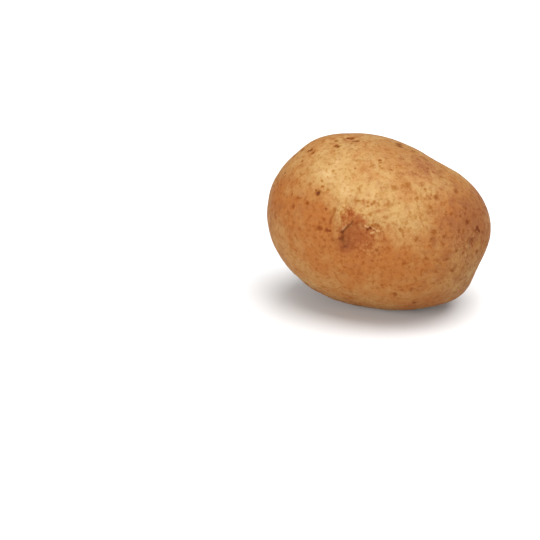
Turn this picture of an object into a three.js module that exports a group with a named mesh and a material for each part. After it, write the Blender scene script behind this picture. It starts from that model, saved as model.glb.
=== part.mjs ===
// A whole table potato, lying on its side as picked: one solid that grew in one piece.
//
// The form is an oval core with broad swells and hollows raised from it, a spiral of eyes
// round its long axis, and a small flat spot where it rests.
// Units are millimetres and degrees, +Z is up. +X runs along the tuber to its bud end, and -Y is
// its front. The origin is on the resting plane, under the middle of the bounding box.

import * as THREE from "three";
import { mergeVertices } from "three/addons/utils/BufferGeometryUtils.js";

// Driving dimensions: the oval core, from end to end on each axis
const CORE_LENGTH = 80;
const CORE_DEPTH = 71;
const CORE_HEIGHT = 66;

// The resting plane lies this far under the core's middle, and its rim rounds off over this height
const REST_DROP = 31.7;
const REST_ROUNDING = 0.8;

// Splits along each edge of the icosahedron that the skin starts from
const SKIN_DETAIL = 18;

// Broad swells (rise above 0) and hollows (rise below 0) of the core. The azimuth turns from +X
// to +Y, the elevation is above the horizon, and the spread is the angle at which a swell has
// fallen to 0.6 of its rise.
const SWELLS = [
  { name: "crown", azimuth: 189, elevation: 32, rise: 3.5, spread: 37 },
  { name: "shoulder on the crown", azimuth: 190, elevation: 52, rise: 1.3, spread: 9 },
  { name: "heel end", azimuth: -176, elevation: 10, rise: 1.5, spread: 27 },
  { name: "stem scar on the heel end", azimuth: 172, elevation: 4, rise: -1.4, spread: 4 },
  { name: "flat slope by the bud end", azimuth: 46, elevation: 49, rise: -3.8, spread: 29 },
  { name: "dip in that slope", azimuth: 34, elevation: 48, rise: -1.1, spread: 7 },
  { name: "bud end", azimuth: 9, elevation: 1, rise: 2.4, spread: 30 },
  { name: "facet under the bud end", azimuth: 8, elevation: -19, rise: -1.9, spread: 8 },
  { name: "corner under that facet", azimuth: 9, elevation: -38, rise: 2.3, spread: 14 },
  { name: "front underside", azimuth: -22, elevation: -53, rise: 1.3, spread: 26 },
  { name: "tuck under the front", azimuth: -81, elevation: -66, rise: -2.5, spread: 26 },
  { name: "seat", azimuth: 182, elevation: -78, rise: 1.5, spread: 24 },
  { name: "back", azimuth: 100, elevation: 10, rise: 1.5, spread: 30 },
  { name: "hollow in the back", azimuth: 140, elevation: -25, rise: -2, spread: 22 },
  { name: "front shoulder", azimuth: -78, elevation: 38, rise: 1, spread: 22 },
  { name: "hollow under that shoulder", azimuth: -95, elevation: -8, rise: -1.2, spread: 20 },
];

// The eyes follow a spiral round the long axis and close up towards the bud end. Eye 0 is the
// large one on the front, and the angle round the axis is 0 at the front and 90 on top. Each size
// is a share of the large eye's, in the spiral's order from the heel end.
const FIRST_EYE = -4;
const EYE_SIZES = [0.5, 0.5, 0.4, 0.5, 1, 0.55, 0.35, 0.3, 0.5, 0.35];
const FRONT_EYE_X = 4.5;
const FRONT_EYE_ANGLE = 10;
const EYE_PITCH = 7.5;
const EYE_CLOSING = 0.15;
const EYE_TURN = 144;

// An eye is an oval recess with a raised brow arched over one side of it. It drops steeply from
// the brow and runs out gently on the other side. The brow's bearing is turned from the heel end
// up round the tuber, and the small eyes are the large one to scale.
const RECESS_DEPTH = 1.7;
const RECESS_LENGTH = 5.2;
const RECESS_BROW_SIDE = 3;
const RECESS_FAR_SIDE = 5;
const BROW_RISE = 0.6;
const BROW_RADIUS = 6.6;
const BROW_THICKNESS = 2;
const BROW_BEARING = 55;

// Below this distance from an eye's middle, the direction to its brow means nothing
const EYE_MIDDLE = 1e-6;

const radians = THREE.MathUtils.degToRad;
const bell = (offset, spread) => Math.exp(-0.5 * (offset / spread) ** 2);

// Unit vector at an azimuth and elevation
function direction(azimuth, elevation) {
  return new THREE.Vector3(
    Math.cos(radians(elevation)) * Math.cos(radians(azimuth)),
    Math.cos(radians(elevation)) * Math.sin(radians(azimuth)),
    Math.sin(radians(elevation)),
  );
}

const swells = SWELLS.map((swell) => ({
  ...swell,
  towards: direction(swell.azimuth, swell.elevation),
}));

// Distance from the core's middle to the surface of the swollen core, along a unit vector
function coreRadius(towards) {
  const x = towards.x / (CORE_LENGTH / 2);
  const y = towards.y / (CORE_DEPTH / 2);
  const z = towards.z / (CORE_HEIGHT / 2);
  const oval = 1 / Math.hypot(x, y, z);
  return swells.reduce(
    (radius, swell) =>
      radius + swell.rise * bell(towards.angleTo(swell.towards), radians(swell.spread)),
    oval,
  );
}

// One eye of the spiral: where it sits, and the two skin directions that its oval is laid out on
function makeEye(size, order) {
  const index = FIRST_EYE + order;
  const x = FRONT_EYE_X + EYE_PITCH * index - EYE_CLOSING * index ** 2;
  const angle = radians(FRONT_EYE_ANGLE + EYE_TURN * index);
  const girth = Math.sqrt(1 - (x / (CORE_LENGTH / 2)) ** 2);
  const towards = new THREE.Vector3(
    x,
    (-CORE_DEPTH / 2) * girth * Math.cos(angle),
    (CORE_HEIGHT / 2) * girth * Math.sin(angle),
  ).normalize();
  const toHeel = new THREE.Vector3(-1, 0, 0).addScaledVector(towards, towards.x).normalize();
  const toBrow = toHeel.clone().applyAxisAngle(towards, -radians(BROW_BEARING));
  return {
    towards,
    toBrow,
    along: new THREE.Vector3().crossVectors(toBrow, towards),
    radius: coreRadius(towards),
    size,
  };
}

// How far an eye raises or sinks the skin along a unit vector
function eyeRelief(eye, towards) {
  if (towards.dot(eye.towards) <= 0) return 0;
  const across = (towards.dot(eye.toBrow) * eye.radius) / eye.size;
  const along = (towards.dot(eye.along) * eye.radius) / eye.size;
  const distance = Math.hypot(across, along);
  const browSide = Math.max(0, across) / Math.max(distance, EYE_MIDDLE);
  const width = across > 0 ? RECESS_BROW_SIDE : RECESS_FAR_SIDE;
  const recess = RECESS_DEPTH * bell(along, RECESS_LENGTH) * bell(across, width);
  const brow = BROW_RISE * browSide * bell(distance - BROW_RADIUS, BROW_THICKNESS);
  return eye.size * (brow - recess);
}

// Height over the resting plane, levelled at the plane with a rounded rim
function settled(height) {
  if (height <= -REST_ROUNDING) return 0;
  if (height >= REST_ROUNDING) return height;
  return (height + REST_ROUNDING) ** 2 / (4 * REST_ROUNDING);
}

// The skin starts as an evenly split icosahedron, and each vertex is moved out to the form
function potatoGeometry() {
  const ball = new THREE.IcosahedronGeometry(1, SKIN_DETAIL);
  ball.deleteAttribute("normal");
  ball.deleteAttribute("uv");
  const skin = mergeVertices(ball);
  const eyes = EYE_SIZES.map(makeEye);
  const position = skin.getAttribute("position");
  const towards = new THREE.Vector3();
  for (let i = 0; i < position.count; i++) {
    towards.fromBufferAttribute(position, i).normalize();
    const relief = eyes.reduce((sum, eye) => sum + eyeRelief(eye, towards), 0);
    const radius = coreRadius(towards) + relief;
    position.setXYZ(
      i,
      towards.x * radius,
      towards.y * radius,
      settled(towards.z * radius + REST_DROP),
    );
  }

  skin.computeBoundingBox();
  const middle = skin.boundingBox.getCenter(new THREE.Vector3());
  skin.translate(-middle.x, -middle.y, 0);
  skin.computeVertexNormals();
  return skin;
}

const skinMaterial = new THREE.MeshStandardMaterial({
  name: "potato_skin",
  color: 0xc68a4c,
  roughness: 0.6,
  metalness: 0,
});

const potato = new THREE.Mesh(potatoGeometry(), skinMaterial);
potato.name = "potato";

const group = new THREE.Group();
group.name = "whole_potato";
group.add(potato);

export default group;
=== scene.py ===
# The looks of a whole potato with its skin on, lying on a pale floor in soft studio light.
# Metres and degrees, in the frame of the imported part: +Z is up, -Y is the front, +X the bud end.

import math
import random

import bmesh
import bpy
import numpy as np
from mathutils import Color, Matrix, Vector, kdtree, noise
from mathutils.bvhtree import BVHTree


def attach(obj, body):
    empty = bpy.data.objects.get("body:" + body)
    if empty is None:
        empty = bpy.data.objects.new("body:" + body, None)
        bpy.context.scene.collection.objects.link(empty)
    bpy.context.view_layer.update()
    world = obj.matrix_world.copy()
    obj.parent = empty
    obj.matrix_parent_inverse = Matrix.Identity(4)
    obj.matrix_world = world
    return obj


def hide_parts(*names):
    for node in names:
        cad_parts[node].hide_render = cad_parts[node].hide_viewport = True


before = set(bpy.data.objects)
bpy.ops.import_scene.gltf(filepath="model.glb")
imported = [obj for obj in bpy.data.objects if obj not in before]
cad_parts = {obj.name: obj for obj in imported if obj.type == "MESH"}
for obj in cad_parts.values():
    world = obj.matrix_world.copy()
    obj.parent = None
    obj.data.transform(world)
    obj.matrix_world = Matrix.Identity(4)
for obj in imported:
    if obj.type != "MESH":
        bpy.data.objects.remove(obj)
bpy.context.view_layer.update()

MM = 0.001

# The photograph's view. Pixels here and below are its own, counted from its top left corner.
IMAGE_SIZE = 540
LENS = 100
SENSOR = 36
VIEW_AZIMUTH = 20
VIEW_ELEVATION = 20
VIEW_DISTANCE = 0.57
FORM_MIDDLE = Vector((0.85, -0.85, 31.7)) * MM
FORM_MIDDLE_PIXEL = (378.7, 220.3)

# The eyes' spiral round the long axis, as the solid has it
FIRST_EYE = -4
EYE_SIZES = (0.5, 0.5, 0.4, 0.5, 1, 0.55, 0.35, 0.3, 0.5, 0.35)
FRONT_EYE_X = 4.5 * MM
FRONT_EYE_ANGLE = 10
EYE_PITCH = 7.5 * MM
EYE_CLOSING = 0.15 * MM
EYE_TURN = 144
BROW_BEARING = 55
BROW_RADIUS = 6.6 * MM
CORE_HALF = Vector((40, 35.5, 33)) * MM

# The fine mesh, and the height above the floor over which its relief sets in
WELD = 0.001 * MM
ROUND_LEVELS = 2
FLOOR_CLEAR = 2 * MM

# The sharpest marks, where the mesh is split once more: pixel x and y, reach in millimetres
FINE_PLACES = (
    (358, 230, 11), (318, 193, 2.5), (311, 152, 4), (337, 146, 3), (353, 140, 5),
    (400, 146, 3), (478, 229, 3),
)

# Low lumps and fine relief of the skin: wavelength and height
LUMPS = ((16 * MM, 0.35 * MM), (7 * MM, 0.14 * MM), (2.6 * MM, 0.07 * MM))

# How far the edges of painted marks wander, and over what length
RAGGED = 0.22 * MM
RAGGED_LENGTH = 0.9 * MM

# How many spreads out a bell curve is followed: on patches and raised marks, and on cuts
PATCH_REACH = 3
CUT_REACH = 4

# A lenticel in shares of its width, and how strong its core is where its darkness ends
SPOT_REACH = 1.5
SPOT_SPREAD = 0.45
SPOT_SINK = 0.04
SPOT_EDGE = 0.05

# Lenticels by seeded draw: full ones on the sides that the photograph doesn't show, and small
# ones all over. A draw from 0 to 1 adds to the least width, and a power makes wide ones rare.
SEED = 7
LENTICELS = 260
LENTICEL_LEAST = 0.8 * MM
LENTICEL_MORE = 1.6 * MM
LENTICEL_POWER = 3
LENTICEL_DARKNESS = (0.35, 0.8)
SMALL_LENTICELS = 900
SMALL_LEAST = 0.45 * MM
SMALL_MORE = 0.4 * MM
SMALL_DARKNESS = 0.6

# How squarely the skin faces the camera, as a cosine: it is out of sight below the first, and in
# full sight above the second
UNSEEN_FACING = 0.1
SEEN_FACING = 0.5

# Lenticels seen in the photograph: pixel x and y, width in millimetres, darkness
SPOTS_SEEN = (
    (311, 150, 1.6, 1.0), (313, 153, 1.4, 0.8), (308, 151, 1.3, 0.6), (330, 231, 1.1, 0.45),
    (336, 146, 1.5, 1.0), (338, 147, 1.5, 1.0), (349, 138, 1.6, 0.45), (352, 138, 1.8, 0.9),
    (354, 141, 1.6, 0.8), (357, 141, 1.6, 0.8), (336, 141, 1.4, 0.8), (323, 141, 1.4, 0.4),
    (302, 161, 1.0, 0.9), (301, 174, 1.0, 0.5), (333, 171, 1.2, 0.5), (322, 181, 1.0, 0.6),
    (323, 186, 1.0, 0.5), (310, 184, 0.9, 0.2), (298, 198, 1.2, 0.8), (328, 190, 1.4, 0.4),
    (302, 150, 1.4, 1.0), (294, 155, 1.3, 1.0), (292, 194, 1.1, 0.5), (294, 206, 1.1, 0.6),
    (307, 203, 1.1, 0.7), (281, 185, 0.9, 0.5), (285, 173, 0.9, 1.0), (380, 160, 1.2, 0.7),
    (399, 144, 2.6, 1.0), (400, 146, 2.6, 1.0), (413, 151, 1.6, 0.9), (394, 188, 2.2, 0.5),
    (407, 185, 2.3, 0.4), (425, 189, 1.2, 0.5), (416, 193, 1.2, 0.3), (417, 198, 1.4, 0.5),
    (436, 197, 1.8, 0.65), (430, 207, 2.0, 0.35), (456, 191, 1.8, 0.5), (441, 177, 1.5, 0.6),
    (414, 217, 2.0, 0.25), (422, 221, 1.2, 0.25), (436, 220, 1.6, 0.1), (446, 215, 1.1, 0.5),
    (451, 214, 1.1, 0.3), (460, 216, 1.1, 0.5), (466, 208, 1.2, 0.3), (467, 222, 1.5, 0.8),
    (459, 231, 1.2, 0.5), (463, 230, 1.0, 0.5), (434, 232, 2.2, 0.4), (447, 259, 1.2, 0.4),
    (468, 264, 1.3, 0.15), (389, 205, 2.0, 0.3), (386, 218, 1.2, 0.35), (368, 202, 1.2, 0.25),
    (372, 204, 1.1, 0.55), (368, 206, 1.1, 0.6), (401, 230, 1.6, 0.45), (377, 250, 1.2, 0.6),
    (372, 253, 1.2, 0.25), (387, 248, 1.2, 0.3), (391, 241, 1.3, 0.25), (326, 209, 1.0, 0.8),
    (327, 230, 1.4, 1.0), (444, 237, 1.2, 0.25), (324, 219, 1.3, 0.5), (320, 228, 1.7, 0.7),
    (416, 239, 1.8, 0.35), (472, 240, 2.2, 0.45), (477, 252, 1.4, 0.5), (456, 250, 1.3, 0.45),
    (463, 253, 1.2, 0.5), (426, 258, 1.2, 0.35), (434, 283, 1.3, 0.25), (452, 270, 1.4, 0.4),
    (435, 271, 1.6, 0.25), (411, 289, 1.5, 0.25), (402, 290, 1.3, 0.35), (395, 294, 1.7, 0.7),
    (414, 303, 1.5, 1.0),
)

# Dark pits seen in the photograph: pixel x and y, width in millimetres
PITS_SEEN = ((318, 193, 2.1),)

# A pit in shares of its width, and the darkness of its rim
PIT_REACH = 1.5
PIT_SPREAD = 0.24
PIT_SINK = 0.22
PIT_RIM_SPREAD = 0.4
PIT_RIM_DARKNESS = 0.9

# Brown strokes seen in the photograph: the pixels that each runs through, its width in
# millimetres, its darkness
# The first stroke is partly painted shade on the left side of the fold, and the last is a painted
# shadow under a lifted flake
STROKES_SEEN = (
    (((335, 209), (333, 215), (331, 219), (330, 224)), 0.9, 0.4),
    (((477, 227), (478, 229), (480, 232)), 0.8, 0.9),
    (((477, 229), (475, 231)), 0.7, 0.6),
    (((356, 201), (364, 201)), 0.7, 0.3),
    (((383, 232), (384, 236), (384, 240)), 0.6, 0.25),
    (((372, 225), (379, 225)), 0.6, 0.35),
    (((367, 229), (370, 228)), 0.6, 0.8),
)

# A stroke in shares of its width
STROKE_REACH = 2
STROKE_SPREAD = 0.55
STROKE_SINK = 0.12

# The torn skin round the front eye, by the pixels that each line runs through. A torn edge also
# has the rise of its lip and the drop of the hollow beside it.
TORN_EDGES = (
    (((354, 215), (353, 221), (351, 225), (346, 228), (343, 232), (342, 238), (344, 245), (349, 251)),
     0.3 * MM, 1.3 * MM),
    (((385, 238), (383, 232), (374, 228), (365, 225), (358, 221)), 0.15 * MM, 0.25 * MM),
)
LIP_WIDTH = 0.8 * MM
HOLLOW_WIDTH = 2.8 * MM
EDGE_SOFTNESS = 0.45 * MM
# The crack is a groove, and its dark paint is painted shade along the wall of the torn edge
CRACK = ((352, 220), (352, 223), (350, 225), (347, 227), (345, 229), (343, 232))
CRACK_WIDTH = 0.22 * MM
CRACK_DEPTH = 0.25 * MM
CRACK_PAINTED_SHADE = 0.55
# Lifted flakes, painted pale partly as painted highlights on their lit edges; the first is the lit lip
# beside the crack
FLAKES_AND_HIGHLIGHTS = (
    ((343, 229), (346, 226)),
    ((365, 226), (368, 227)),
    ((373, 228), (375, 229)),
    ((371, 233), (374, 232)),
    ((377, 231), (379, 231)),
)
FLAKE_WIDTH = 0.34 * MM
FLAKE_RISE = 0.16 * MM
FOLD = ((341, 205), (339, 216), (336, 226), (334, 236))
FOLD_WIDTH = 1.1 * MM
FOLD_RISE = 0.45 * MM
FOLD_TONE = 0.3

# A small eye in shares of its brow's radius
EYE_REACH = 2
CREASE_RADIUS = 0.62
CREASE_SPREAD = 0.1
BROW_SPREAD = 0.2
BUD_SPREAD = 0.16
RECESS_SPREAD = 0.55

# Its relief and its paint, as they would be at the large eye's size
CREASE_DEPTH = 0.6 * MM
BROW_RISE = 0.2 * MM
BUD_RISE = 0.5 * MM
RECESS_DEPTH = 0.4 * MM
# The crease's dark paint is painted shade under the brow
CREASE_PAINTED_SHADE = 0.8
RECESS_RUSSET = 1.4

# How pale the bud of a small eye is, at any size
BUD_PALE = 0.7

# The stem scar, where the solid has it: a stub in a sunk ring, on torn russet skin
STEM_SCAR_AZIMUTH = 172
STEM_SCAR_ELEVATION = 4
SCAR_REACH = 6 * MM
STUB_SPREAD = 0.9 * MM
STUB_RISE = 0.9 * MM
STUB_PALE = 0.6
RING_RADIUS = 2 * MM
RING_SPREAD = 0.45 * MM
RING_DEPTH = 0.6 * MM
RING_DARK = 0.45
SCAR_TORN_SPREAD = 2.4 * MM
SCAR_RUSSET_SPREAD = 2.6 * MM
SCAR_RUSSET = 0.8

# Broad colour by noise: its wavelengths, its amounts in the photograph's sight, and what is
# added to them out of sight
TONE_LENGTH = 22 * MM
TONE_SEEN = 0.3
TONE_UNSEEN_MORE = 1.2
FINE_TONE_LENGTH = 9 * MM
FINE_TONE = 0.6
BLUSH_LENGTH = 17 * MM
BLUSH_SEEN = 0.3
BLUSH_UNSEEN_MORE = 0.7

# Broad colour seen in the photograph: pixel x and y at the middle, spread in millimetres, amount.
# A tone below 0 turns the skin orange brown, and one above 0 turns it beige, then pale.
# Among these tones, the pale patches on the upper left and top are a painted sheen, the pale patches
# low on the right are painted light bounced up from the floor, and the orange brown low on the front
# is partly painted shade.
TONES_AND_PAINTED_LIGHT = (
    (335, 175, 11, 0.8), (385, 198, 10, 0.5), (410, 219, 6, 0.9), (440, 185, 7, 0.5),
    (366, 210, 5, 1.1), (281, 197, 7, -1.6), (308, 215, 7, -1.2), (322, 225, 3, -1.2),
    (385, 268, 11, -1.3), (430, 290, 9, -0.3), (470, 220, 9, -0.7), (345, 262, 9, -1.0),
    (308, 246, 8, -0.8), (414, 304, 6, -0.8), (440, 298, 5, -0.3), (318, 168, 2.4, 0.6),
    (325, 175, 2.4, 0.6), (335, 164, 3, 0.6), (340, 187, 3, 0.7), (398, 217, 2.5, 0.5),
    (418, 220, 3, 0.7), (352, 196, 3, 0.6), (303, 165, 5, 0.4), (400, 230, 3, 0.5),
    (372, 222, 3, 0.9), (371, 139, 4, 1.0), (449, 214, 6, -1.0), (435, 249, 6, -0.7),
    (463, 250, 6, 1.2), (425, 243, 5, 0.3), (402, 258, 4, -0.5), (460, 284, 6, 1.2),
    (425, 264, 6, 0.2), (477, 213, 6, -0.8), (355, 170, 4, -0.5), (405, 152, 5, -0.4),
    (447, 263, 5, -0.8), (400, 202, 4, -0.7), (386, 171, 5, -0.5), (347, 153, 5, 0.5),
    (372, 188, 5, 0.4), (318, 205, 5, -0.5), (400, 180, 5, 0.3), (416, 231, 3, -0.4),
    (386, 231, 3, -0.6), (370, 242, 3, 0.8), (297, 157, 5, -0.2), (281, 185, 4, -0.6),
    (325, 214, 4, -0.5),
)
BLUSHES = (
    (474, 215, 8, 0.7), (470, 250, 9, 0.25), (424, 166, 6, 0.75), (455, 285, 7, 0.3),
    (448, 215, 6, 0.3), (446, 243, 7, 0.3),
)
# Russet skin round the front eye; where it lies in the hollow, its darkness is partly painted shade
RUSSETS = (
    (348, 208, 1.5, 0.5), (345, 217, 1.6, 0.8), (351, 216, 1.8, 0.95), (358, 219, 1.7, 0.95),
    (364, 223, 1.5, 0.8), (354, 224, 2.2, 0.8), (349, 233, 3.6, 1.0), (361, 236, 4.2, 1.0),
    (376, 244, 4.0, 0.2), (346, 246, 2.6, 1.0), (365, 252, 5.0, 0.35), (356, 203, 1.3, 0.4),
    (364, 201, 1.3, 0.45), (373, 205, 1.7, 0.45), (380, 211, 1.7, 0.4), (385, 217, 1.7, 0.4),
    (388, 224, 1.8, 0.4), (381, 236, 2.4, 0.4),
)
# Painted shade in the front eye's hollow, darkest under its left wall
PAINTED_HOLLOW_SHADE = (
    (342, 232, 0.6, 0.7), (341, 239, 0.8, 0.55), (343, 242, 0.9, 0.5), (346, 246, 1.0, 0.75),
    (352, 235, 3.2, 0.2), (346, 243, 2.6, 0.36),
)
TORN = (
    (347, 213, 2.6, 1.0), (374, 230, 2.2, 0.8), (345, 224, 2.0, 0.8), (369, 213, 3.6, 0.35),
    (364, 246, 3.2, 0.8),
)

# What is painted on the skin, as attributes of the mesh. Besides the skin's own marks, tone carries
# painted sheen, bounce light and shade, dark and spot carry painted shade, and pale carries painted
# highlights.
PAINTS = ("spot", "darkness", "russet", "pale", "dark", "tone", "blush", "torn")

# Colours of the skin, from 0 to 255 as a screen shows them
SCREEN_WHITE = 255
ORANGE_BROWN = (134, 80, 34)
TAN = (141, 99, 54)
# Beige and pale also serve the painted sheen and the painted bounce light among the tones
BEIGE = (149, 117, 71)
PALE = (165, 137, 95)
BLUSH = (122, 73, 39)
# Russet is partly darkened as painted shade of the front eye's hollow
RUSSET = (127, 70, 31)
# Dark serves dark pits and marks, and also painted shade in the front eye's hollow, along its crack
# and in the creases of small eyes
DARK = (70, 27, 10)
CREAM = (176, 140, 95)

# What a stain leaves of the skin's red, green and blue, from no stain at 0 to the strongest at 1
WHITE = (1, 1, 1, 1)
STAIN_STEPS = ((0, WHITE), (0.4, (0.72, 0.53, 0.3, 1)), (1, (0.4, 0.2, 0.06, 1)))

# The sizes of the skin's noise, and its detail in octaves
MOTTLE_SIZE = 5 * MM
FLUSH_SIZE = 3 * MM
GRAIN_SIZE = 1.6 * MM
FLECK_SIZE = 1.6 * MM
SPLIT_SIZE = 1.4 * MM
FINE_SIZE = 0.6 * MM
COARSE_DETAIL = 3
FINE_DETAIL = 2

# How strongly noise breaks up the skin's paints and its splits
NOISE_MIDDLE = 0.5
TONE_GAIN = 3.4
BLUSH_GAIN = 1.5
RUSSET_GAIN = 0.9
SPOT_GAIN = 0.5
CHIP_GAIN = 0.8
SPLIT_GAIN = 0.2

# Ramps: the values that each runs between, and what they turn into where it isn't 0 and 1
TAN_RAMP = (-1.7, 0.1)
BEIGE_RAMP = (0, 1.2)
PALE_RAMP = (1.2, 2.6)
BLUSH_RAMP = (0, 1)
CREAM_RAMP = (0.52, 0.3)
CREAM_TONE_RAMP = (-1.2, 0.6, 0.09, 0.26)
RUSSET_RAMP = (0.1, 0.9, 0, 0.95)
SPLIT_RAMP = (0.14, 0.02)
FLECK_RAMP = (0.36, 0.12)
FLECK_CHOICE_RAMP = (0.45, 0.75, 0, 0.2)
SPOT_RAMP = (0.05, 1.05)
GRAIN_STAIN_RAMP = (0.45, 0.74, 0, 0.28)
CHIP_RAMP = (0.25, 0.9, 0, 0.4)
UNEVEN_RAMP = (0.35, 0.65, 0.6, 1.2)
ROUGHNESS_RAMP = (0.3, 0.7, 0.62, 0.78)

# How much the splits of torn skin stain it, and what makes up the bumps of the surface
SPLIT_STAIN = 0.42
GRAIN_BUMP = 0.6
FINE_BUMP = 0.4
SPLIT_BUMP = 0.5
BUMP_STRENGTH = 0.28
BUMP_HEIGHT = 0.3 * MM

# The mix node's sockets for colours, which share their names with its sockets for numbers
MIX_AMOUNT = 0
MIX_FIRST = 6
MIX_SECOND = 7
MIX_RESULT = 2

# The specular level of the skin and the floor, which are both dull
SPECULAR_LEVEL = 0.1

# The floor and the white surroundings
FLOOR_SIZE = 6
FLOOR_COLOUR = (0.66, 0.66, 0.66, 1)
FLOOR_ROUGHNESS = 0.9
WORLD_STRENGTH = 0.42

# Softboxes: name, azimuth and elevation, distance and size in metres, power in watts
SOFTBOXES = (
    ("key", 90, 77, 2.2, 2.6, 108),
    ("front", -12, 12, 1.2, 0.8, 17.5),
    ("fill", 50, 6, 1.0, 0.6, 2.2),
)


# View

def view_axes(azimuth, elevation):
    turn = math.radians(azimuth)
    tilt = math.radians(elevation)
    back = Vector((
        math.sin(turn) * math.cos(tilt),
        -math.cos(turn) * math.cos(tilt),
        math.sin(tilt),
    ))
    right = Vector((math.cos(turn), math.sin(turn), 0))
    return right, back.cross(right), back


def add_camera():
    """A camera at the photograph's angle, turned so that the form's middle lands on its pixel."""
    right, up, back = view_axes(VIEW_AZIMUTH, VIEW_ELEVATION)
    per_pixel = VIEW_DISTANCE * SENSOR / LENS / IMAGE_SIZE
    off_right = (FORM_MIDDLE_PIXEL[0] - IMAGE_SIZE / 2) * per_pixel
    off_up = (IMAGE_SIZE / 2 - FORM_MIDDLE_PIXEL[1]) * per_pixel
    aim = FORM_MIDDLE - right * off_right - up * off_up
    data = bpy.data.cameras.new("camera")
    data.lens = LENS
    data.sensor_width = SENSOR
    camera = bpy.data.objects.new("camera", data)
    camera.location = FORM_MIDDLE + back * VIEW_DISTANCE
    camera.rotation_mode = "QUATERNION"
    camera.rotation_quaternion = (aim - camera.location).to_track_quat("-Z", "Y")
    bpy.context.scene.collection.objects.link(camera)
    bpy.context.scene.camera = camera
    return camera


class Sight:
    """Finds the point of the solid at a pixel of the photograph, or straight out from its middle."""

    def __init__(self, camera, solid):
        self.start = camera.location.copy()
        self.turn = camera.rotation_quaternion.copy()
        places = [v.co for v in solid.data.vertices]
        self.surface = BVHTree.FromPolygons(places, [p.vertices[:] for p in solid.data.polygons])

    def point(self, pixel):
        """The point of the solid that a pixel of the photograph shows."""
        focal = IMAGE_SIZE * LENS / SENSOR
        x = (pixel[0] - IMAGE_SIZE / 2) / focal
        y = (IMAGE_SIZE / 2 - pixel[1]) / focal
        return self.surface.ray_cast(self.start, self.turn @ Vector((x, y, -1)))[0]

    def outward(self, towards):
        """The point of the solid straight out from the form's middle."""
        return self.surface.ray_cast(FORM_MIDDLE, towards)[0]


# Mesh

def rounded_copy(node, levels):
    """A new object with the solid's form, its facets rounded off by subdivision."""
    bm = bmesh.new()
    bm.from_mesh(node.data)
    bmesh.ops.remove_doubles(bm, verts=bm.verts, dist=WELD)
    bm.verts.index_update()
    places = [v.co.copy() for v in bm.verts]
    faces = [[v.index for v in face.verts] for face in bm.faces]
    bm.free()
    rough = bpy.data.meshes.new("rough")
    rough.from_pydata(places, [], faces)
    piece = bpy.data.objects.new("potato_skin", rough)
    bpy.context.scene.collection.objects.link(piece)
    rounding = piece.modifiers.new("rounding", "SUBSURF")
    rounding.levels = levels
    evaluated = piece.evaluated_get(bpy.context.evaluated_depsgraph_get())
    fine = bpy.data.meshes.new_from_object(evaluated)
    piece.modifiers.clear()
    piece.data = fine
    bpy.data.meshes.remove(rough)
    fine.name = "potato_skin"
    return piece


def refine(mesh, point, reach):
    """Splits the faces round a point once more."""
    bm = bmesh.new()
    bm.from_mesh(mesh)
    close = [face for face in bm.faces if (face.calc_center_median() - point).length < reach]
    edges = list({edge for face in close for edge in face.edges})
    bmesh.ops.subdivide_edges(bm, edges=edges, cuts=1, use_grid_fill=True)
    bm.to_mesh(mesh)
    bm.free()


def bell(offset, spread):
    """A bell curve: 1 in the middle, 0.6 at the spread, and 0 far out."""
    return np.exp(-0.5 * (offset / spread) ** 2)


class Skin:
    """The fine mesh's vertices, how far each is raised, and how much of each paint it has."""

    def __init__(self, mesh):
        self.mesh = mesh
        count = len(mesh.vertices)
        place = np.empty(count * 3)
        mesh.vertices.foreach_get("co", place)
        self.place = place.reshape(-1, 3)
        normal = np.empty(count * 3)
        mesh.vertex_normals.foreach_get("vector", normal)
        self.normal = normal.reshape(-1, 3)
        self.height = np.zeros(count)
        self.paint = {name: np.zeros(count) for name in PAINTS}
        self.tree = kdtree.KDTree(count)
        for i, p in enumerate(self.place):
            self.tree.insert(p, i)
        self.tree.balance()
        self.wander = RAGGED * swell(self, RAGGED_LENGTH)

    def near(self, point, reach):
        """Indices of the vertices within reach of a point, and their ragged distances from it."""
        found = self.tree.find_range(point, reach)
        index = np.array([i for _, i, _ in found], int)
        distance = np.array([d for _, _, d in found])
        return index, np.abs(distance + self.wander[index])

    def near_path(self, points, reach):
        """Indices of the vertices within reach of a path, and their ragged distances from it."""
        index, offset, _ = self.beside_path(points, reach)
        return index, np.abs(offset)

    def beside_path(self, points, reach):
        """Indices of the vertices within reach of a path, their ragged distances to its left, and
        the share of the path that lies behind them."""
        offset = np.full(len(self.place), np.inf)
        behind = np.zeros(len(self.place))
        for step, (start, end) in enumerate(zip(points, points[1:])):
            base = np.array(start)
            run = np.array(end) - base
            out = self.place - base
            along = np.clip(out @ run / (run @ run), 0, 1)
            gap = np.linalg.norm(out - along[:, None] * run, axis=1)
            side = np.sign((np.cross(run, out) * self.normal).sum(axis=1))
            closer = gap < np.abs(offset)
            offset[closer] = (gap * side)[closer]
            behind[closer] = (step + along[closer]) / (len(points) - 1)
        index = np.flatnonzero(np.abs(offset) < reach)
        return index, offset[index] + self.wander[index], behind[index]

    def dab(self, name, index, amount):
        """Paints vertices, where what is there isn't stronger."""
        paint = self.paint[name]
        paint[index] = np.maximum(paint[index], amount)

    def finish(self):
        """Moves the vertices and stores the paints on the mesh."""
        clear = np.clip(self.place[:, 2] / FLOOR_CLEAR, 0, 1)
        moved = self.place + self.normal * (self.height * clear)[:, None]
        moved[:, 2] = np.maximum(moved[:, 2], 0)
        self.mesh.vertices.foreach_set("co", moved.ravel())
        for name, amount in self.paint.items():
            attribute = self.mesh.attributes.new(name, "FLOAT", "POINT")
            attribute.data.foreach_set("value", amount.astype(np.float32))
        self.mesh.polygons.foreach_set("use_smooth", [True] * len(self.mesh.polygons))
        self.mesh.update()


# Skin features

def swell(skin, wavelength):
    """Smooth noise over the skin, about -0.5 to 0.5."""
    return np.array([noise.noise(Vector(p) / wavelength) for p in skin.place])


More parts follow.
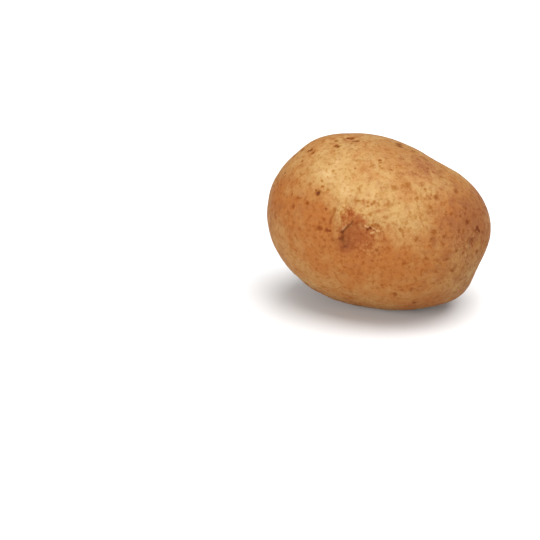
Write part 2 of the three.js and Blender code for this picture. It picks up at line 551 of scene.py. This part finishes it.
def add_lumps(skin):
    """Low uneven lumps all over, and the finer relief of the skin."""
    for wavelength, height in LUMPS:
        skin.height += height * swell(skin, wavelength)


def add_spot(skin, point, width, darkness):
    """A lenticel: a small corky spot, a little sunk."""
    index, distance = skin.near(point, SPOT_REACH * width)
    core = bell(distance, SPOT_SPREAD * width)
    skin.dab("spot", index, core)
    skin.dab("darkness", index, darkness * (core > SPOT_EDGE))
    skin.height[index] -= SPOT_SINK * width * darkness * core


def add_pit(skin, point, width):
    """A dark pit with a brown rim."""
    index, distance = skin.near(point, PIT_REACH * width)
    core = bell(distance, PIT_SPREAD * width)
    skin.dab("dark", index, core)
    skin.dab("spot", index, bell(distance, PIT_RIM_SPREAD * width))
    skin.dab("darkness", index, PIT_RIM_DARKNESS)
    skin.height[index] -= PIT_SINK * width * core


def add_stroke(skin, points, width, darkness):
    """A brown line: mostly a scratch or crease, and in two places painted shade, beside the fold and
    under a flake.
    """
    index, distance = skin.near_path(points, STROKE_REACH * width)
    core = bell(distance, STROKE_SPREAD * width)
    skin.dab("spot", index, core)
    skin.dab("darkness", index, darkness)
    skin.height[index] -= STROKE_SINK * width * core


def add_crack_and_shade(skin, points):
    """A groove along the torn edge beside the front eye, darkened as painted shade of the edge's wall.
    """
    index, distance = skin.near_path(points, CUT_REACH * CRACK_WIDTH)
    core = bell(distance, CRACK_WIDTH)
    skin.dab("dark", index, CRACK_PAINTED_SHADE * core)
    skin.height[index] -= CRACK_DEPTH * core


def add_torn_edge(skin, points, rise, drop):
    """A lip of skin along the right of a path, and a wall down to the hollow on its left."""
    index, offset, behind = skin.beside_path(points, CUT_REACH * HOLLOW_WIDTH)
    hollow = (1 + np.tanh(offset / EDGE_SOFTNESS)) / 2
    ends = np.sin(np.pi * behind)
    skin.height[index] += ends * rise * (1 - hollow) * bell(offset, LIP_WIDTH)
    skin.height[index] -= ends * drop * hollow * bell(offset, HOLLOW_WIDTH)


def add_flake_and_highlight(skin, points):
    """A chip of skin that has lifted, painted pale, partly as a painted highlight on its lit edge."""
    index, distance = skin.near_path(points, PATCH_REACH * FLAKE_WIDTH)
    core = bell(distance, FLAKE_WIDTH)
    skin.dab("pale", index, core)
    skin.height[index] += FLAKE_RISE * core


def add_fold(skin, points):
    """The pale fold of skin beside the front eye."""
    index, distance = skin.near_path(points, PATCH_REACH * FOLD_WIDTH)
    core = bell(distance, FOLD_WIDTH)
    skin.paint["tone"][index] += FOLD_TONE * core
    skin.paint["russet"][index] *= 1 - core
    skin.height[index] += FOLD_RISE * core


def eye_frame(index):
    """Where an eye of the spiral lies from the form's middle, and the direction of its brow."""
    x = FRONT_EYE_X + EYE_PITCH * index - EYE_CLOSING * index**2
    angle = math.radians(FRONT_EYE_ANGLE + EYE_TURN * index)
    girth = math.sqrt(1 - (x / CORE_HALF.x) ** 2)
    towards = Vector((
        x,
        -CORE_HALF.y * girth * math.cos(angle),
        CORE_HALF.z * girth * math.sin(angle),
    )).normalized()
    to_heel = (Vector((-1, 0, 0)) + towards * towards.x).normalized()
    bearing = math.radians(BROW_BEARING)
    to_brow = to_heel * math.cos(bearing) - towards.cross(to_heel) * math.sin(bearing)
    return towards, to_brow


def add_small_eye(skin, sight, index, size):
    """A bud in the recess of a small eye, a crease under its brow darkened as painted shade, and their
    colours.
    """
    towards, to_brow = eye_frame(index)
    middle = sight.outward(towards)
    radius = BROW_RADIUS * size
    found, distance = skin.near(middle, EYE_REACH * radius)
    offset = skin.place[found] - np.array(middle)
    brow_side = np.clip(offset @ np.array(to_brow) / np.maximum(distance, WELD), 0, 1)
    crease = brow_side * bell(distance - CREASE_RADIUS * radius, CREASE_SPREAD * radius)
    brow = brow_side * bell(distance - radius, BROW_SPREAD * radius)
    bud = bell(distance, BUD_SPREAD * radius)
    recess = bell(distance, RECESS_SPREAD * radius)
    skin.height[found] += size * (BUD_RISE * bud + BROW_RISE * brow)
    skin.height[found] -= size * (CREASE_DEPTH * crease + RECESS_DEPTH * recess)
    skin.dab("russet", found, RECESS_RUSSET * size * recess)
    skin.dab("dark", found, CREASE_PAINTED_SHADE * size * crease)
    skin.dab("pale", found, BUD_PALE * bud)
    skin.paint["tone"][found] += size * brow


def add_stem_scar(skin, sight):
    """The corky scar where the stem broke off the heel end."""
    azimuth = math.radians(STEM_SCAR_AZIMUTH)
    elevation = math.radians(STEM_SCAR_ELEVATION)
    towards = Vector((
        math.cos(elevation) * math.cos(azimuth),
        math.cos(elevation) * math.sin(azimuth),
        math.sin(elevation),
    ))
    index, distance = skin.near(sight.outward(towards), SCAR_REACH)
    stub = bell(distance, STUB_SPREAD)
    ring = bell(distance - RING_RADIUS, RING_SPREAD)
    skin.height[index] += STUB_RISE * stub - RING_DEPTH * ring
    skin.dab("dark", index, RING_DARK * ring)
    skin.dab("pale", index, STUB_PALE * stub)
    skin.dab("torn", index, bell(distance, SCAR_TORN_SPREAD))
    skin.dab("russet", index, SCAR_RUSSET * bell(distance, SCAR_RUSSET_SPREAD))


def spread_lenticels(skin, sight):
    """Lenticels by seeded draw: full ones out of the photograph's sight, and small ones all over."""
    draw = random.Random(SEED)
    for i in range(LENTICELS + SMALL_LENTICELS):
        towards = Vector((draw.gauss(0, 1), draw.gauss(0, 1), draw.gauss(0, 1))).normalized()
        size = draw.random()
        darkness = draw.uniform(*LENTICEL_DARKNESS)
        point = sight.outward(towards)
        if i >= LENTICELS:
            add_spot(skin, point, SMALL_LEAST + SMALL_MORE * size, SMALL_DARKNESS * darkness)
        elif (sight.start - point).normalized().dot(towards) < UNSEEN_FACING:
            add_spot(skin, point, LENTICEL_LEAST + LENTICEL_MORE * size**LENTICEL_POWER, darkness)


def add_noise_colour(skin, sight):
    """Broad tones and blushes by noise, stronger where the photograph doesn't show the skin."""
    to_camera = np.array(sight.start) - skin.place
    to_camera /= np.linalg.norm(to_camera, axis=1)[:, None]
    facing = (skin.normal * to_camera).sum(axis=1)
    unseen = 1 - np.clip(facing / SEEN_FACING, 0, 1)
    skin.paint["tone"] += swell(skin, TONE_LENGTH) * (TONE_SEEN + TONE_UNSEEN_MORE * unseen)
    skin.paint["tone"] += swell(skin, FINE_TONE_LENGTH) * FINE_TONE
    blush = np.clip(swell(skin, BLUSH_LENGTH), 0, 1)
    skin.paint["blush"] += blush * (BLUSH_SEEN + BLUSH_UNSEEN_MORE * unseen)


def patches_seen(skin, sight, patches):
    """For each patch seen in the photograph, the vertices that it covers and its amount on them."""
    for x, y, spread, amount in patches:
        index, distance = skin.near(sight.point((x, y)), PATCH_REACH * spread * MM)
        yield index, amount * bell(distance, spread * MM)


def add_seen_colour(skin, sight):
    """The patches of colour seen in the photograph, painted sheen, bounce light and shade among them.
    """
    for name, patches in (("tone", TONES_AND_PAINTED_LIGHT), ("blush", BLUSHES)):
        for index, amount in patches_seen(skin, sight, patches):
            skin.paint[name][index] += amount
    for name, patches in (("russet", RUSSETS), ("dark", PAINTED_HOLLOW_SHADE), ("torn", TORN)):
        for index, amount in patches_seen(skin, sight, patches):
            skin.dab(name, index, amount)


def dress(skin, sight):
    """Adds every feature of the skin."""
    def seen(pixels):
        return [sight.point(p) for p in pixels]

    add_lumps(skin)
    add_noise_colour(skin, sight)
    add_seen_colour(skin, sight)
    spread_lenticels(skin, sight)
    for x, y, width, darkness in SPOTS_SEEN:
        add_spot(skin, sight.point((x, y)), width * MM, darkness)
    for x, y, width in PITS_SEEN:
        add_pit(skin, sight.point((x, y)), width * MM)
    for pixels, width, darkness in STROKES_SEEN:
        add_stroke(skin, seen(pixels), width * MM, darkness)
    for i, size in enumerate(EYE_SIZES):
        if FIRST_EYE + i != 0:
            add_small_eye(skin, sight, FIRST_EYE + i, size)
    add_stem_scar(skin, sight)
    add_fold(skin, seen(FOLD))
    for pixels, rise, drop in TORN_EDGES:
        add_torn_edge(skin, seen(pixels), rise, drop)
    add_crack_and_shade(skin, seen(CRACK))
    for pixels in FLAKES_AND_HIGHLIGHTS:
        add_flake_and_highlight(skin, seen(pixels))
    skin.finish()


# Materials

def screen(colour):
    """A colour given from 0 to 255 as a screen shows it, as linear RGBA."""
    return (*Color([c / SCREEN_WHITE for c in colour]).from_srgb_to_scene_linear(), 1)


class Nodes:
    """Shorthand that makes the nodes of one material."""

    def __init__(self, name):
        self.material = bpy.data.materials.new(name)
        self.material.use_nodes = True
        self.tree = self.material.node_tree
        self.shader = self.tree.nodes["Principled BSDF"]

    def fill(self, node, inputs):
        """Links or sets the inputs of a node."""
        for key, value in inputs.items():
            if isinstance(value, bpy.types.NodeSocket):
                self.tree.links.new(value, node.inputs[key])
            else:
                node.inputs[key].default_value = value

    def add(self, kind, inputs, **settings):
        """A new node with its settings and inputs."""
        made = self.tree.nodes.new("ShaderNode" + kind)
        for key, value in settings.items():
            setattr(made, key, value)
        self.fill(made, inputs)
        return made

    def math(self, operation, a, b):
        return self.add("Math", {0: a, 1: b}, operation=operation).outputs[0]

    def plus(self, a, b):
        return self.math("ADD", a, b)

    def times(self, a, b):
        return self.math("MULTIPLY", a, b)

    def mix(self, amount, first, second, blend="MIX"):
        """A mix of two colours."""
        inputs = {MIX_AMOUNT: amount, MIX_FIRST: first, MIX_SECOND: second}
        return self.add("Mix", inputs, data_type="RGBA", blend_type=blend).outputs[MIX_RESULT]

    def ramp(self, value, low, high, to_low=0, to_high=1):
        """A value mapped smoothly from one range to another."""
        inputs = {
            "Value": value,
            "From Min": low,
            "From Max": high,
            "To Min": to_low,
            "To Max": to_high,
        }
        return self.add("MapRange", inputs, interpolation_type="SMOOTHSTEP").outputs[0]

    def colours(self, value, steps):
        """A colour ramp through steps, each a place and a colour, the first at 0 and the last at 1."""
        made = self.add("ValToRGB", {"Fac": value})
        elements = made.color_ramp.elements
        elements[0].color = steps[0][1]
        elements[1].color = steps[-1][1]
        for position, colour in steps[1:-1]:
            elements.new(position).color = colour
        return made.outputs["Color"]

    def noise(self, place, size, detail):
        inputs = {"Vector": place, "Scale": 1 / size, "Detail": detail}
        return self.add("TexNoise", inputs).outputs[0]

    def cells(self, place, size, **settings):
        """The outputs of a pattern of cells."""
        return self.add("TexVoronoi", {"Vector": place, "Scale": 1 / size}, **settings).outputs

    def shifted(self, value, gain):
        """Noise, centred on 0 and scaled."""
        return self.times(self.math("SUBTRACT", value, NOISE_MIDDLE), gain)

    def paint(self, name):
        """How much of a paint the mesh has."""
        return self.add("Attribute", {}, attribute_name=name).outputs["Fac"]

    def broken_paint(self, name, value, gain):
        """How much of a paint the mesh has, broken up by noise."""
        return self.plus(self.paint(name), self.shifted(value, gain))


def ground_colour_and_painted_light(nodes, place, grain, fine):
    """The skin's colour: orange brown to pale by its tone, which also carries painted sheen, bounce
    light and shade, with blushes, cream and russet.
    """
    mottle = nodes.noise(place, MOTTLE_SIZE, COARSE_DETAIL)
    flush = nodes.noise(place, FLUSH_SIZE, FINE_DETAIL)
    tone = nodes.broken_paint("tone", mottle, TONE_GAIN)
    blush = nodes.broken_paint("blush", flush, BLUSH_GAIN)
    russet = nodes.broken_paint("russet", grain, RUSSET_GAIN)
    cream = nodes.times(nodes.ramp(fine, *CREAM_RAMP), nodes.ramp(tone, *CREAM_TONE_RAMP))
    colour = nodes.mix(nodes.ramp(tone, *TAN_RAMP), screen(ORANGE_BROWN), screen(TAN))
    colour = nodes.mix(nodes.ramp(tone, *BEIGE_RAMP), colour, screen(BEIGE))
    colour = nodes.mix(nodes.ramp(tone, *PALE_RAMP), colour, screen(PALE))
    colour = nodes.mix(nodes.ramp(blush, *BLUSH_RAMP), colour, screen(BLUSH))
    colour = nodes.mix(cream, colour, screen(CREAM))
    return nodes.mix(nodes.ramp(russet, *RUSSET_RAMP), colour, screen(RUSSET))


def torn_splits(nodes, place, fine):
    """The fine splits of torn skin, from 0 to 1."""
    to_edge = nodes.cells(place, SPLIT_SIZE, feature="DISTANCE_TO_EDGE")["Distance"]
    split = nodes.ramp(nodes.plus(to_edge, nodes.shifted(fine, SPLIT_GAIN)), *SPLIT_RAMP)
    return nodes.times(split, nodes.paint("torn"))


def stain_strength(nodes, place, grain, fine, split):
    """How stained the skin is: by lenticels and brown strokes, two of them painted shade, by its
    grain, by flecks and by splits.
    """
    flecks = nodes.cells(place, FLECK_SIZE)
    fleck = nodes.ramp(flecks["Distance"], *FLECK_RAMP)
    chosen = nodes.ramp(flecks["Color"], *FLECK_CHOICE_RAMP)
    spot = nodes.ramp(nodes.broken_paint("spot", fine, SPOT_GAIN), *SPOT_RAMP)
    stain_and_shade = nodes.times(spot, nodes.paint("darkness"))
    stain_and_shade = nodes.plus(stain_and_shade, nodes.ramp(grain, *GRAIN_STAIN_RAMP))
    stain_and_shade = nodes.plus(stain_and_shade, nodes.times(fleck, chosen))
    return nodes.plus(stain_and_shade, nodes.times(split, SPLIT_STAIN))


def bumps(nodes, grain, fine, split):
    """The fine unevenness of the surface, as a normal."""
    relief = nodes.plus(nodes.times(grain, GRAIN_BUMP), nodes.times(fine, FINE_BUMP))
    relief = nodes.math("SUBTRACT", relief, nodes.times(split, SPLIT_BUMP))
    inputs = {"Height": relief, "Strength": BUMP_STRENGTH, "Distance": BUMP_HEIGHT}
    return nodes.add("Bump", inputs).outputs[0]


def skin_material():
    """Potato skin: a mottled tan with brown stains, lenticels, and russet, torn and pale places, with
    painted sheen, bounce light and shade among them.
    """
    nodes = Nodes("potato_skin")
    place = nodes.add("TexCoord", {}).outputs["Object"]
    grain = nodes.noise(place, GRAIN_SIZE, COARSE_DETAIL)
    fine = nodes.noise(place, FINE_SIZE, FINE_DETAIL)
    split = torn_splits(nodes, place, fine)
    stain_and_shade = stain_strength(nodes, place, grain, fine, split)
    # Pale chips, buds and stubs, the chips partly painted highlights
    chip_and_highlight = nodes.ramp(nodes.broken_paint("pale", fine, CHIP_GAIN), *CHIP_RAMP)
    # Dark pits and marks, and painted shade in the front eye's hollow, along its crack and in the
    # creases of small eyes
    dark = nodes.times(nodes.paint("dark"), nodes.ramp(grain, *UNEVEN_RAMP))
    colour = ground_colour_and_painted_light(nodes, place, grain, fine)
    colour = nodes.mix(1, colour, nodes.colours(stain_and_shade, STAIN_STEPS), "MULTIPLY")
    colour = nodes.mix(chip_and_highlight, colour, screen(CREAM))
    colour = nodes.mix(dark, colour, screen(DARK))
    nodes.fill(nodes.shader, {
        "Base Color": colour,
        "Roughness": nodes.ramp(grain, *ROUGHNESS_RAMP),
        "Normal": bumps(nodes, grain, fine, split),
        "Specular IOR Level": SPECULAR_LEVEL,
    })
    return nodes.material


# Studio

def add_floor():
    """The plain pale floor."""
    bpy.ops.mesh.primitive_plane_add(size=FLOOR_SIZE)
    floor = bpy.context.object
    floor.name = "floor"
    nodes = Nodes("floor")
    nodes.fill(nodes.shader, {
        "Base Color": FLOOR_COLOUR,
        "Roughness": FLOOR_ROUGHNESS,
        "Specular IOR Level": SPECULAR_LEVEL,
    })
    floor.data.materials.append(nodes.material)


def add_softbox(name, azimuth, elevation, distance, size, power):
    """A square light that faces the tuber."""
    back = view_axes(azimuth, elevation)[2]
    data = bpy.data.lights.new(name, "AREA")
    data.size = size
    data.energy = power
    light = bpy.data.objects.new(name, data)
    light.location = FORM_MIDDLE + back * distance
    light.rotation_mode = "QUATERNION"
    light.rotation_quaternion = (-back).to_track_quat("-Z", "Y")
    bpy.context.scene.collection.objects.link(light)


def add_studio():
    """The floor, the softboxes and even white surroundings."""
    add_floor()
    for box in SOFTBOXES:
        add_softbox(*box)
    world = bpy.data.worlds.new("studio")
    world.use_nodes = True
    background = world.node_tree.nodes["Background"]
    background.inputs["Color"].default_value = WHITE
    background.inputs["Strength"].default_value = WORLD_STRENGTH
    bpy.context.scene.world = world
    bpy.context.scene.view_settings.view_transform = "Standard"


# Put together

sight = Sight(add_camera(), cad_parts["potato"])
potato = rounded_copy(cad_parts["potato"], ROUND_LEVELS)
for x, y, reach in FINE_PLACES:
    refine(potato.data, sight.point((x, y)), reach * MM)
dress(Skin(potato.data), sight)
potato.data.materials.clear()
potato.data.materials.append(skin_material())
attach(potato, "root")
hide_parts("potato")
add_studio()
